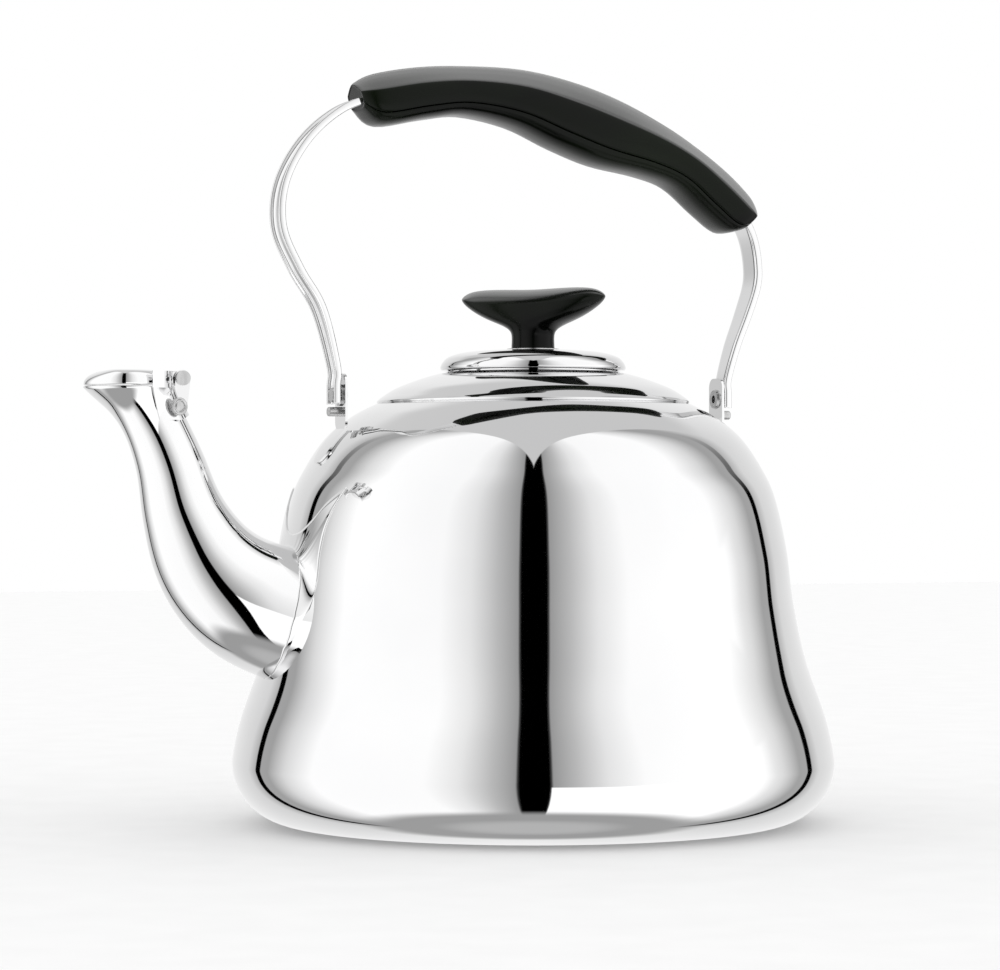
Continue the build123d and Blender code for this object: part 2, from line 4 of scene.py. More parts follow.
import bmesh
import bpy
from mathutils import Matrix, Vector


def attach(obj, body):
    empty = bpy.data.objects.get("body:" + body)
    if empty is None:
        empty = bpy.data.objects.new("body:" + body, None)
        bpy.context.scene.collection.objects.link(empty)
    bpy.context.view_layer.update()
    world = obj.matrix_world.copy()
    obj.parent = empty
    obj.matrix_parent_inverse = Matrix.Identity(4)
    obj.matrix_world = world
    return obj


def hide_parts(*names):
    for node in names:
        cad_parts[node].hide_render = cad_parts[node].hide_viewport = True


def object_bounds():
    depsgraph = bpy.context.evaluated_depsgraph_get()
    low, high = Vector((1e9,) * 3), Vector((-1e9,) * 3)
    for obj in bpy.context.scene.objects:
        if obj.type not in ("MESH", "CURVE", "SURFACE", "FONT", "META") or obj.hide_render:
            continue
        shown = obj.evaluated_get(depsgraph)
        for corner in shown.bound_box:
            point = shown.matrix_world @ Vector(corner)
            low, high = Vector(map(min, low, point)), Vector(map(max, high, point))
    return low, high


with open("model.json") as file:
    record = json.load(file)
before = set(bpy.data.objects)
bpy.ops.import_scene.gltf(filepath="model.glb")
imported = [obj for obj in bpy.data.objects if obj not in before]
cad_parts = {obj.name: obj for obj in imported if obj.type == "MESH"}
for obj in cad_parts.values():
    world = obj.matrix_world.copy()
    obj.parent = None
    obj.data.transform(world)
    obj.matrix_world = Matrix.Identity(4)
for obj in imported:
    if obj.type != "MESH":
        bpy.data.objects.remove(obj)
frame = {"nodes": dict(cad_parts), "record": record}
cadLow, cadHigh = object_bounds()
nodes = frame["nodes"]
mm = 0.001

# small tools used by every piece


def deselectAll():
    if bpy.context.object and bpy.context.object.mode != "OBJECT":
        bpy.ops.object.mode_set(mode="OBJECT")
    bpy.ops.object.select_all(action="DESELECT")


def smoothThrough(points, perSpan):
    # a curve through all the points, the same number of steps in each span
    path = []
    last = len(points) - 1
    for i in range(last):
        a = points[max(i - 1, 0)]
        b = points[i]
        c = points[i + 1]
        d = points[min(i + 2, last)]
        for step in range(perSpan):
            t = step / perSpan
            path.append(tuple(
                0.5 * (2 * q + (r - p) * t + (2 * p - 5 * q + 4 * r - s) * t * t
                       + (3 * q - p - 3 * r + s) * t * t * t)
                for p, q, r, s in zip(a, b, c, d)))
    path.append(tuple(points[-1]))
    return path


def arcPoints(centreX, centreZ, radius, fromAngle, toAngle, steps):
    turns = [math.radians(fromAngle + (toAngle - fromAngle) * i / steps) for i in range(steps + 1)]
    return [(centreX + radius * math.cos(t), centreZ + radius * math.sin(t)) for t in turns]


def sideways(points, distance):
    # the same outline moved square to itself, to its left
    moved = []
    last = len(points) - 1
    for i, point in enumerate(points):
        before = points[max(i - 1, 0)]
        after = points[min(i + 1, last)]
        run, rise = after[0] - before[0], after[1] - before[1]
        size = math.hypot(run, rise) or 1.0
        moved.append((point[0] - rise / size * distance, point[1] + run / size * distance))
    return moved


def closeMesh(piece):
    bpy.ops.mesh.select_all(action="SELECT")
    bpy.ops.mesh.remove_doubles(threshold=0.01 * mm)
    bpy.ops.mesh.normals_make_consistent(inside=False)
    bpy.ops.object.mode_set(mode="OBJECT")
    piece.select_set(True)
    bpy.ops.object.shade_smooth()


def turnedPiece(name, outline, steps):
    # one point drawn out along the outline, then spun about the upright axis
    deselectAll()
    bpy.ops.mesh.primitive_plane_add(size=0.01, enter_editmode=True)
    piece = bpy.context.object
    piece.name = name
    bpy.ops.mesh.select_all(action="SELECT")
    bpy.ops.mesh.merge(type="CENTER")
    mesh = bmesh.from_edit_mesh(piece.data)
    for vertex in mesh.verts:
        vertex.co = Vector((outline[0][0], 0, outline[0][1])) * mm
    bmesh.update_edit_mesh(piece.data)
    for before, after in zip(outline, outline[1:]):
        move = ((after[0] - before[0]) * mm, 0, (after[1] - before[1]) * mm)
        bpy.ops.mesh.extrude_region_move(TRANSFORM_OT_translate={"value": move})
    bpy.ops.mesh.select_all(action="SELECT")
    bpy.ops.mesh.spin(steps=steps, angle=math.radians(360), center=(0, 0, 0), axis=(0, 0, 1))
    closeMesh(piece)
    return piece


def ringPiece(name, rings, capFirst=True, capLast=True):
    # a ring of points drawn out from station to station
    deselectAll()
    count = len(rings[0])
    bpy.ops.mesh.primitive_circle_add(vertices=count, radius=0.01, enter_editmode=True)
    piece = bpy.context.object
    piece.name = name
    mesh = bmesh.from_edit_mesh(piece.data)
    mesh.verts.ensure_lookup_table()
    ring = list(range(count))
    for place, point in zip(ring, rings[0]):
        mesh.verts[place].co = Vector(point) * mm
    bpy.ops.mesh.select_all(action="SELECT")
    for stationPoints in rings[1:]:
        bpy.ops.mesh.extrude_edges_move()
        mesh = bmesh.from_edit_mesh(piece.data)
        mesh.verts.ensure_lookup_table()
        onward = []
        for place in ring:
            vertex = mesh.verts[place]
            onward.append(next(e.other_vert(vertex).index for e in vertex.link_edges
                               if e.other_vert(vertex).select))
        for place, point in zip(onward, stationPoints):
            mesh.verts[place].co = Vector(point) * mm
        ring = onward
        bmesh.update_edit_mesh(piece.data)
    ends = ([list(range(count))] if capFirst else []) + ([ring] if capLast else [])
    for end in ends:
        bpy.ops.mesh.select_all(action="DESELECT")
        mesh = bmesh.from_edit_mesh(piece.data)
        mesh.verts.ensure_lookup_table()
        for place in end:
            mesh.verts[place].select = True
        mesh.select_flush(True)
        bmesh.update_edit_mesh(piece.data)
        bpy.ops.mesh.edge_face_add()
        bpy.ops.mesh.inset(thickness=0.1 * mm)
    closeMesh(piece)
    return piece


def applied(piece, kind, name, **settings):
    deselectAll()
    piece.select_set(True)
    bpy.context.view_layer.objects.active = piece
    modifier = piece.modifiers.new(name, kind)
    for key, value in settings.items():
        setattr(modifier, key, value)
    bpy.ops.object.modifier_apply(modifier=name)


def settle(piece, body, material, slot, *standsFor):
    # finish, body and frame node of one finished piece
    piece.data.materials.clear()
    piece.data.materials.append(material)
    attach(piece, body)
    if standsFor:
        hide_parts(*standsFor)


# finishes


def newFinish(name):
    material = bpy.data.materials.new(name)
    material.use_nodes = True
    tree = material.node_tree
    return material, tree, tree.nodes["Principled BSDF"]


def addNoise(tree, scale, detail, stretch=(1, 1, 1)):
    place = tree.nodes.new("ShaderNodeTexCoord")
    mapping = tree.nodes.new("ShaderNodeMapping")
    mapping.inputs["Scale"].default_value = stretch
    noise = tree.nodes.new("ShaderNodeTexNoise")
    noise.inputs["Scale"].default_value = scale
    noise.inputs["Detail"].default_value = detail
    tree.links.new(place.outputs["Object"], mapping.inputs["Vector"])
    tree.links.new(mapping.outputs["Vector"], noise.inputs["Vector"])
    return noise


def addRamp(tree, source, stops):
    ramp = tree.nodes.new("ShaderNodeValToRGB")
    while len(ramp.color_ramp.elements) < len(stops):
        ramp.color_ramp.elements.new(0.5)
    for element, (place, colour) in zip(ramp.color_ramp.elements, stops):
        element.position = place
        element.color = (*colour, 1)
    tree.links.new(source, ramp.inputs["Fac"])
    return ramp.outputs["Color"]


def addRange(tree, source, low, high, fromLow=0.0, fromHigh=1.0):
    spread = tree.nodes.new("ShaderNodeMapRange")
    spread.inputs["From Min"].default_value = fromLow
    spread.inputs["From Max"].default_value = fromHigh
    spread.inputs["To Min"].default_value = low
    spread.inputs["To Max"].default_value = high
    tree.links.new(source, spread.inputs["Value"])
    return spread.outputs["Result"]


def addBump(tree, source, shader, strength, distance):
    bump = tree.nodes.new("ShaderNodeBump")
    bump.inputs["Strength"].default_value = strength
    bump.inputs["Distance"].default_value = distance
    tree.links.new(source, bump.inputs["Height"])
    tree.links.new(bump.outputs["Normal"], shader.inputs["Normal"])


steelFinish = {
    "light": (0.90, 0.90, 0.90), "dark": (0.84, 0.84, 0.845), "smooth": 0.015, "hazy": 0.05,
    "handling": 9.0, "polish": 420.0, "polishBump": 0.02, "polishDepth": 0.000004,
}


def mirrorSteel():
    # mirror polish: a trace of haze where it is handled and very fine buffing marks
    material, tree, shader = newFinish("mirrorSteel")
    haze = addNoise(tree, steelFinish["handling"], 4)
    buffing = addNoise(tree, steelFinish["polish"], 2, (1, 1, 0.15))
    tint = addRamp(tree, haze.outputs["Fac"], [(0.35, steelFinish["dark"]), (0.65, steelFinish["light"])])
    tree.links.new(tint, shader.inputs["Base Color"])
    rough = addRange(tree, haze.outputs["Fac"], steelFinish["smooth"], steelFinish["hazy"])
    tree.links.new(rough, shader.inputs["Roughness"])
    addBump(tree, buffing.outputs["Fac"], shader, steelFinish["polishBump"], steelFinish["polishDepth"])
    shader.inputs["Metallic"].default_value = 1.0
    return material


satinFinish = {
    "light": (0.66, 0.66, 0.66), "dark": (0.50, 0.50, 0.50), "smooth": 0.18, "rough": 0.34,
    "grain": 900.0, "grainBump": 0.2, "grainDepth": 0.00003,
}


def satinSteel():
    # rivets, pins and screws, turned and left satin
    material, tree, shader = newFinish("satinSteel")
    grain = addNoise(tree, satinFinish["grain"], 3, (1, 1, 0.2))
    tint = addRamp(tree, grain.outputs["Fac"], [(0.3, satinFinish["dark"]), (0.7, satinFinish["light"])])
    tree.links.new(tint, shader.inputs["Base Color"])
    rough = addRange(tree, grain.outputs["Fac"], satinFinish["smooth"], satinFinish["rough"])
    tree.links.new(rough, shader.inputs["Roughness"])
    addBump(tree, grain.outputs["Fac"], shader, satinFinish["grainBump"], satinFinish["grainDepth"])
    shader.inputs["Metallic"].default_value = 1.0
    return material


bakeliteFinish = {
    "deep": (0.0012, 0.0014, 0.0012), "sheen": (0.0045, 0.0075, 0.003), "smooth": 0.16, "worn": 0.24,
    "flow": 26.0, "skin": 600.0, "skinBump": 0.1, "skinDepth": 0.000012,
    # slant and upward tilt over which the painted highlight comes in, its two levels, index of the skin
    "facing": (0.28, 0.60), "upward": (0.1, 0.6), "gloss": 0.95, "dull": 0.03, "index": 2.5,
}


def blackBakelite():
    # moulded resin: slow green-black flow marks under a glossy skin
    material, tree, shader = newFinish("blackBakelite")
    flow = addNoise(tree, bakeliteFinish["flow"], 5, (0.5, 1, 1.4))
    skin = addNoise(tree, bakeliteFinish["skin"], 2)
    stops = [(0.38, bakeliteFinish["deep"]), (0.66, bakeliteFinish["sheen"])]
    tint = addRamp(tree, flow.outputs["Fac"], stops)
    tree.links.new(tint, shader.inputs["Base Color"])
    rough = addRange(tree, flow.outputs["Fac"], bakeliteFinish["smooth"], bakeliteFinish["worn"])
    tree.links.new(rough, shader.inputs["Roughness"])
    addBump(tree, skin.outputs["Fac"], shader, bakeliteFinish["skinBump"], bakeliteFinish["skinDepth"])
    # painted highlight: reflection strength raised on faces tilted up and seen slantwise, so the top reads
    # lighter as if lit from above, and kept low elsewhere
    weight = tree.nodes.new("ShaderNodeLayerWeight")
    slant = addRange(tree, weight.outputs["Facing"], 0.0, bakeliteFinish["gloss"], *bakeliteFinish["facing"])
    place = tree.nodes.new("ShaderNodeTexCoord")
    split = tree.nodes.new("ShaderNodeSeparateXYZ")
    tree.links.new(place.outputs["Normal"], split.inputs["Vector"])
    upward = addRange(tree, split.outputs["Z"], 0.0, 1.0, *bakeliteFinish["upward"])
    paintedHighlightLevel = tree.nodes.new("ShaderNodeMath")
    paintedHighlightLevel.operation = "MULTIPLY_ADD"
    tree.links.new(slant, paintedHighlightLevel.inputs[0])
    tree.links.new(upward, paintedHighlightLevel.inputs[1])
    paintedHighlightLevel.inputs[2].default_value = bakeliteFinish["dull"]
    # the painted highlight level sets how strongly the skin reflects
    tree.links.new(paintedHighlightLevel.outputs["Value"], shader.inputs["Specular IOR Level"])
    shader.inputs["IOR"].default_value = bakeliteFinish["index"]
    return material


aluminiumFinish = {
    "light": (0.80, 0.80, 0.81), "dark": (0.68, 0.68, 0.69), "smooth": 0.3, "rough": 0.45, "grain": 300.0,
}


def rawAluminium():
    # the sealed disc inside the base
    material, tree, shader = newFinish("rawAluminium")
    grain = addNoise(tree, aluminiumFinish["grain"], 4, (1, 0.2, 1))
    stops = [(0.3, aluminiumFinish["dark"]), (0.7, aluminiumFinish["light"])]
    tint = addRamp(tree, grain.outputs["Fac"], stops)
    tree.links.new(tint, shader.inputs["Base Color"])
    rough = addRange(tree, grain.outputs["Fac"], aluminiumFinish["smooth"], aluminiumFinish["rough"])
    tree.links.new(rough, shader.inputs["Roughness"])
    shader.inputs["Metallic"].default_value = 1.0
    return material


finishes = {"polished_steel": mirrorSteel(), "rivet_steel": satinSteel(), "black_bakelite": blackBakelite(),
            "aluminium_core": rawAluminium()}
steel = finishes["polished_steel"]
satin = finishes["rivet_steel"]
bakelite = finishes["black_bakelite"]
for part in frame["record"]["subparts"]:
    for slotOfNode in nodes[part["node"]].material_slots:
        slotOfNode.material = finishes[part["material_slot"]]
print("finishes made")

# kettle body

bodyShape = {
    "wall": 0.8, "widest": 110.0, "widestZ": 22.6, "corner": 22.3, "foot": 0.3,
    "recess": 84.2, "floor": 5.0,
    "early": 12.0, "perSpan": 12, "beadSteps": 22, "turns": 192,
    "side": [(110.0, 22.6), (106.9, 38.0), (99.4, 60.0), (95.0, 81.0), (92.6, 100.0), (88.4, 118.7),
             (83.4, 129.7), (75.9, 140.6), (66.5, 148.3), (56.8, 153.3), (51.0, 155.6)],
}


def bodySide():
    # the drawn side, from the widest ring to the lap under the dome, starting upright
    side = bodyShape["side"]
    early = (side[0][0], side[0][1] - bodyShape["early"])
    return smoothThrough([early] + side, bodyShape["perSpan"])[bodyShape["perSpan"]:]


def makeKettleBody():
    shape = bodyShape
    outer = bodySide()
    inner = sideways(outer, shape["wall"])
    cornerX = shape["widest"] - shape["corner"]
    recess, floor, wall, foot = shape["recess"], shape["floor"], shape["wall"], shape["foot"]
    bead = arcPoints(cornerX, shape["widestZ"], shape["corner"], -90, 0, shape["beadSteps"])[:-1]
    beadInside = arcPoints(cornerX, shape["widestZ"], shape["corner"] - wall, 0, -90, shape["beadSteps"])[1:]
    below = [(0, floor), (recess - 1.0, floor), (recess - 0.3, floor - 0.3), (recess, floor - 1.0),
             (recess, foot + 0.9), (recess + 0.3, foot + 0.25), (recess + 0.9, foot)]
    above = [(recess + wall + 0.6, foot + wall), (recess + wall, foot + wall + 0.6),
             (recess + wall, floor - 0.6), (recess + wall - 0.3, floor + wall - 0.3),
             (recess - 0.4, floor + wall), (0, floor + wall)]
    outline = below + bead + outer + list(reversed(inner))[:-1] + beadInside + above
    return turnedPiece("kettleBody", outline, shape["turns"])


settle(makeKettleBody(), "kettle", steel, "polished_steel", "body_shell")
print("kettle body turned")

# shoulder dome and lid

domeShape = {
    "wall": 0.8, "neck": 30.2, "neckLow": 157.0, "lipRadius": 1.7, "lipZ": 162.9, "turns": 160,
    "top": [(57.2, 154.0), (55.4, 155.5), (50.4, 158.6), (42.5, 161.7), (35.5, 163.8), (31.9, 164.5)],
    "edge": [(56.3, 153.45), (57.0, 153.15), (57.35, 153.5)],
}


def makeShoulderDome():
    shape = domeShape
    top = smoothThrough(shape["top"], 8)
    neck, wall, lip = shape["neck"], shape["wall"], shape["lipRadius"]
    roll = arcPoints(neck + lip, shape["lipZ"], lip, 90, 180, 8)
    under = [(neck + wall, shape["neckLow"]), (neck + wall, 163.0)]
    inside = list(reversed(sideways(top, wall)))[:-3]
    outline = top + roll + [(neck, shape["neckLow"])] + under + inside + shape["edge"] + [top[0]]
    return turnedPiece("shoulderDome", outline, shape["turns"])


settle(makeShoulderDome(), "kettle", steel, "polished_steel", "shoulder_dome")

lidShape = {
    "turns": 160, "roll": (33.1, 166.15, 0.9),
    "top": [(2.4, 172.75), (9.8, 172.75), (18.3, 172.5), (26.0, 171.7), (31.0, 170.2), (33.2, 168.2),
            (34.0, 166.5)],
    "under": [(31.9, 165.4), (32.2, 166.9), (31.9, 168.0), (30.4, 169.4), (25.7, 170.95), (18.0, 171.8),
              (9.8, 172.05), (2.4, 172.05), (2.4, 172.75)],
}


def makeLidCap():
    shape = lidShape
    top = smoothThrough(shape["top"], 6)
    roll = arcPoints(*shape["roll"], 10, -110, 8)
    return turnedPiece("lidCap", top + roll + shape["under"], shape["turns"])


settle(makeLidCap(), "lid", steel, "polished_steel", "lid_cap")
print("dome and lid turned")

# knob

knobShape = {
    "turn": -50.0, "sides": 32, "blunt": 0.32, "bluntFrom": 8.6, "bluntOver": 16.0,
    # half length, half width, height, how much the ends lift
    "rings": [(8.0, 8.0, 173.25, 0.0), (7.85, 7.85, 175.6, 0.0), (7.8, 7.8, 178.4, 0.0),
              (8.6, 8.1, 180.2, 0.0), (12.0, 8.7, 181.7, 0.4), (18.4, 9.3, 183.2, 1.1),
              (24.4, 9.9, 185.3, 2.1), (28.4, 10.2, 187.4, 2.9), (29.3, 10.3, 188.7, 3.1),
              (29.4, 10.3, 189.1, 3.1), (28.9, 9.9, 190.1, 3.0), (26.0, 8.2, 192.3, 2.6),
              (19.5, 5.6, 193.9, 1.6), (10.5, 2.9, 194.8, 0.5), (3.0, 0.9, 195.0, 0.0)],
}


def makeKnob():
    # a round stem drawn out into a long saddle with lifted ends
    shape = knobShape
    turn = math.radians(shape["turn"])
    rings = []
    for halfLong, halfWide, height, lift in shape["rings"]:
        ring = []
        for i in range(shape["sides"]):
            angle = 2 * math.pi * i / shape["sides"]
            share = min(1.0, max(0.0, (halfLong - shape["bluntFrom"]) / shape["bluntOver"]))
            blunt = 1.0 - shape["blunt"] * share
            along = halfLong * math.copysign(abs(math.cos(angle)) ** blunt, math.cos(angle))
            across = halfWide * math.sin(angle)
            up = height + lift * (along / halfLong) ** 2
            ring.append((along * math.cos(turn) - across * math.sin(turn),
                         along * math.sin(turn) + across * math.cos(turn), up))
        rings.append(ring)
    knob = ringPiece("saddleKnob", rings)
    applied(knob, "SUBSURF", "round", levels=2, render_levels=2)
    return knob


settle(makeKnob(), "lid", bakelite, "black_bakelite", "knob")
print("knob shaped")

# spout and its collar

spoutShape = {
    "wall": 0.8, "sides": 64, "oval": 0.985, "mouthDrop": 0.25,
    # x, z, half width, lean of the run
    "stations": [(-89.0, 75.8, 24.6, 11.0), (-97.0, 77.4, 24.1, 14.0), (-109.5, 82.8, 22.9, 27.0),
                 (-119.3, 90.5, 20.7, 43.0), (-127.0, 101.0, 18.0, 59.0), (-133.2, 115.5, 14.6, 71.0),
                 (-137.6, 131.2, 12.3, 72.0), (-143.1, 144.5, 11.2, 66.0), (-147.7, 152.5, 12.2, 73.0)],
    "mouth": (-152.6, 157.7, 15.9, 14.4),
}


def spoutRing(x, z, halfAlong, halfAcross, lean):
    ring = []
    tip = math.radians(lean)
    for i in range(spoutShape["sides"]):
        angle = 2 * math.pi * i / spoutShape["sides"]
        along = halfAlong * math.cos(angle)
        ring.append((x + along * math.sin(tip), halfAcross * math.sin(angle), z + along * math.cos(tip)))
    return ring


def spoutRings():
    # rings set square to the run, the last one level at the mouth
    shape = spoutShape
    mouthX, mouthZ, mouthLong, mouthWide = shape["mouth"]
    plain = [(x, z, half * shape["oval"], half, lean) for x, z, half, lean in shape["stations"]]
    plain.append((mouthX, mouthZ - shape["mouthDrop"], mouthLong, mouthWide, 90.0))
    return [spoutRing(*station) for station in smoothThrough(plain, 6)]


def makeSpout():
    spout = ringPiece("spoutTube", spoutRings(), capFirst=False, capLast=False)
    applied(spout, "SOLIDIFY", "wall", thickness=spoutShape["wall"] * mm, offset=-1.0)
    return spout


spoutTube = makeSpout()
settle(spoutTube, "kettle", steel, "polished_steel", "spout_tube")

collarShape = {
    # off the body, off the tube, own thickness, height its lines fan out from
    "stand": 0.8, "proud": 0.25, "skin": 0.6, "fanZ": 80.0,
    "leastRun": 4, "run": 30, "fine": 60, "steps": 14, "relax": 6,
    "outline": [(0, 55.2), (7.2, 58.6), (14.2, 63.4), (19.6, 69.4), (23.2, 79.0), (24.9, 90.0),
                (24.5, 101.0), (25.6, 111.0), (30.5, 122.5)],
    "throat": [(30.5, 122.5), (22.5, 117.2), (16.0, 111.5), (8.0, 107.0), (0, 105.6)],
}


def bodyRadius(z):
    side = [(bodyShape["widest"], bodyShape["widestZ"])] + bodySide()
    for lower, upper in zip(side, side[1:]):
        if lower[1] <= z <= upper[1]:
            share = (z - lower[1]) / ((upper[1] - lower[1]) or 1.0)
            return lower[0] + share * (upper[0] - lower[0])
    return side[-1][0]


def tubePoint(station, turn):
    # a point just proud of the tube, by its angle from the top
    x, z, half, lean = station
    tip, proud = math.radians(lean), collarShape["proud"]
    along = (half * spoutShape["oval"] + proud) * math.cos(turn)
    return Vector((x + along * math.sin(tip), (half + proud) * math.sin(turn), z + along * math.cos(tip)))


def pushedOut(spot, stand):
    # the same point, but never nearer the axis than the body's skin
    radius = math.hypot(spot.x, spot.y)
    clear = bodyRadius(spot.z) + stand
    if radius < clear:
        return Vector((spot.x * clear / radius, spot.y * clear / radius, spot.z))
    return spot


def makeCollar():
    # skin from its edge on the body, drawn in a flare out to the tube
    shape = collarShape
    stand = shape["stand"]
    half = smoothThrough(shape["outline"], 6) + smoothThrough(shape["throat"], 6)[1:]
    outline = half + [(-y, z) for y, z in reversed(half[1:-1])]
    stations = smoothThrough(spoutShape["stations"], shape["fine"])
    rings = [[] for _ in range(shape["steps"])]
    for y, z in outline:
        reach = bodyRadius(z) + stand
        edge = Vector((-math.sqrt(reach * reach - y * y), y, z))
        turn = math.atan2(y, z - shape["fanZ"])
        meet = next(place for place, station in enumerate(stations)
                    if pushedOut(tubePoint(station, turn), stand) == tubePoint(station, turn))
        corner = tubePoint(stations[meet], turn)
        onward = round(shape["leastRun"] + shape["run"] * math.sin(turn) ** 2)
        onTube = tubePoint(stations[meet + onward], turn)
        line = []
        for step in range(len(rings)):
            t = step / (len(rings) - 1)
            line.append(pushedOut(edge * (1 - t) ** 2 + corner * 2 * t * (1 - t) + onTube * t * t, stand))
        for _ in range(shape["relax"]):
            between = [(a + b * 2 + c) / 4 for a, b, c in zip(line, line[1:], line[2:])]
            line = [line[0]] + between + [line[-1]]
        for ring, spot in zip(rings, line):
            ring.append(tuple(spot))
    collar = ringPiece("spoutCollar", rings, capFirst=False, capLast=False)
    applied(collar, "SOLIDIFY", "skin", thickness=shape["skin"] * mm, offset=-1.0)
    return collar


spoutCollar = makeCollar()
settle(spoutCollar, "kettle", steel, "polished_steel", "spout_collar")
print("spout and collar drawn")

rivetShape = {
    "middle": (-141.8, 0.0, 150.6), "aim": (0.32, 0.947), "sides": 40,
    # radius and distance out from the middle of the spout
    "rings": [(3.1, 12.4), (3.1, 13.75), (2.95, 13.95), (2.5, 14.0), (2.3, 13.7), (2.05, 13.7), (1.85, 14.0),
              (1.2, 14.15), (0.4, 14.2)],
}


def makeRivet(name, side):
    # flat rivet with a ring set round its crown
    shape = rivetShape
    aim = Vector((shape["aim"][0], shape["aim"][1] * side, 0)).normalized()
    across = Vector((-aim.y, aim.x, 0))
    rings = []
    for radius, reach in shape["rings"]:
        ring = []
        for i in range(shape["sides"]):
            angle = 2 * math.pi * i / shape["sides"]
            spot = Vector(shape["middle"]) + aim * reach + across * (radius * math.cos(angle))
            ring.append((spot.x, spot.y, spot.z + radius * math.sin(angle)))
        rings.append(ring)
    return ringPiece(name, rings)


for name, side in (("bracketRivetNear", -1), ("bracketRivetFar", 1)):
    settle(makeRivet(name, side), "kettle", satin, "rivet_steel", "bracket_rivets")
print("bracket rivets set")

# whistle flap

flapShape = {
    "tip": -168.4, "back": -139.0, "half": 14.3, "low": 158.1, "sides": 48,
    "pinch": 0.22, "frontLift": 0.30, "liftRate": 1.35,
    # share of the outline, rise at the back
    "rings": [(1.0, 0.0), (1.0, 1.4), (0.995, 2.6), (0.97, 3.8), (0.92, 4.7), (0.82, 5.2), (0.6, 5.45),
              (0.3, 5.5)],
}


def makeFlap():
    # pressed lid of the mouth, drawn to a beak at the front
    shape = flapShape
    middle = (shape["tip"] + shape["back"]) / 2
    reach = (shape["back"] - shape["tip"]) / 2
    rings = []
    for share, rise in shape["rings"]:
        ring = []
        for i in range(shape["sides"]):
            angle = 2 * math.pi * i / shape["sides"]
            run = math.cos(angle)
            pinch = 1.0 - shape["pinch"] * max(0.0, -run) ** 3
            x = middle + share * reach * run
            y = share * shape["half"] * math.sin(angle) * pinch
            rear = (x - shape["tip"]) / (2 * reach)
            lift = min(1.0, shape["frontLift"] + shape["liftRate"] * math.sqrt(max(rear, 0.0)))
            ring.append((x, y, shape["low"] + rise * lift))
        rings.append(ring)
    flap = ringPiece("whistleFlap", rings)
    applied(flap, "SUBSURF", "round", levels=1, render_levels=1)
    return flap


settle(makeFlap(), "whistle_flap", steel, "polished_steel", "flap_cap")

knuckleShape = {
    "x": -134.2, "z": 160.8, "radius": 2.5, "half": 3.6,
    "tailBack": -141.5, "tailLow": 159.6, "tailTop": 162.9,
}


def makeKnuckle():
    # rolled barrel on the pin with its tail let into the back of the flap
    shape = knuckleShape
    section = [(shape["tailBack"], shape["tailLow"]), (shape["tailBack"], shape["tailTop"])]
    section += arcPoints(shape["x"], shape["z"], shape["radius"], 110, -110, 20)
    rings = [[(x, y, z) for x, z in section] for y in (shape["half"], -shape["half"])]
    return ringPiece("flapKnuckle", rings)


settle(makeKnuckle(), "whistle_flap", steel, "polished_steel", "flap_cap")
print("flap pressed")

# handle

armShape = {
    "endWidth": 9.0, "topWidth": 12.0, "narrowTo": 163.0, "wideFrom": 192.0, "low": 152.3,
    "front": [(-76.8, 152.3), (-76.8, 159.0), (-76.8, 166.0), (-82.4, 186.4), (-91.0, 200.6),
              (-97.4, 215.5), (-96.2, 231.5), (-87.5, 247.0), (-74.2, 258.3), (-60.0, 262.8),
              (-42.0, 265.4)],
    "rear": [(76.8, 152.3), (76.8, 158.0), (76.8, 163.0), (80.2, 175.3), (84.5, 186.7), (88.2, 198.0),
             (88.6, 206.0), (86.9, 215.3), (83.4, 222.4), (77.0, 229.0), (68.0, 235.6), (56.0, 243.4)],
}


def channelSection(half):
    # half of the pressed channel, from the middle of its back round to the middle of its floor
    side = [(0.0, -1.4), (half - 2.0, -1.4)]
    side += [(half - 0.9 + 0.9 * math.cos(t), -0.5 + 0.9 * math.sin(t))
             for t in [math.radians(a) for a in (-90, -67, -45, -22, 0)]]
    side += [(half - 0.45 + 0.45 * math.cos(t), 0.95 + 0.45 * math.sin(t))
             for t in [math.radians(a) for a in (0, 45, 90, 135, 180)]]
    side += [(half - 0.9, 0.3), (half - 1.1, -0.2), (half - 1.5, -0.4), (half - 2.4, -0.45), (0.0, -0.45)]
    return side + [(-y, d) for y, d in reversed(side[1:-1])]


def makeArm(name, path, outward):
    shape = armShape
    spine = smoothThrough(path, 8)
    rings = []
    for i, (x, z) in enumerate(spine):
        before = spine[max(i - 1, 0)]
        after = spine[min(i + 1, len(spine) - 1)]
        run, rise = after[0] - before[0], after[1] - before[1]
        size = math.hypot(run, rise)
        out = (rise / size * outward, -run / size * outward)
        share = min(1.0, max(0.0, (z - shape["narrowTo"]) / (shape["wideFrom"] - shape["narrowTo"])))
        half = (shape["endWidth"] + share * (shape["topWidth"] - shape["endWidth"])) / 2
        rings.append([(x + out[0] * d, y, z + out[1] * d) for y, d in channelSection(half)])
    return ringPiece(name, rings)


settle(makeArm("armFront", armShape["front"], -1), "handle", steel, "polished_steel", "arm_front")
settle(makeArm("armRear", armShape["rear"], 1), "handle", steel, "polished_steel", "arm_rear")

gripShape = {
    "parting": 0.21, "gap": 0.12,
    # lower x, z, upper x, z, width across
    "stations": [(-67.4, 258.6, -69.6, 266.6, 14.0), (-66.6, 257.2, -69.4, 267.8, 18.0),
                 (-60.0, 252.6, -62.0, 271.4, 23.0),
                 (-43.0, 255.6, -45.0, 274.6, 25.0), (-28.0, 257.4, -27.0, 275.8, 25.0),
                 (-9.0, 254.0, -5.0, 275.5, 26.0), (8.0, 246.8, 15.0, 272.0, 27.0),
                 (24.0, 241.2, 34.0, 266.0, 27.0), (42.0, 237.9, 52.0, 257.6, 26.0),
                 (54.5, 233.8, 66.0, 249.1, 25.0), (65.8, 224.6, 78.0, 240.5, 24.0),
                 (74.8, 218.2, 87.0, 232.0, 23.0), (81.0, 218.6, 89.6, 227.2, 19.0),
                 (82.6, 219.6, 89.4, 226.0, 14.0)],
}


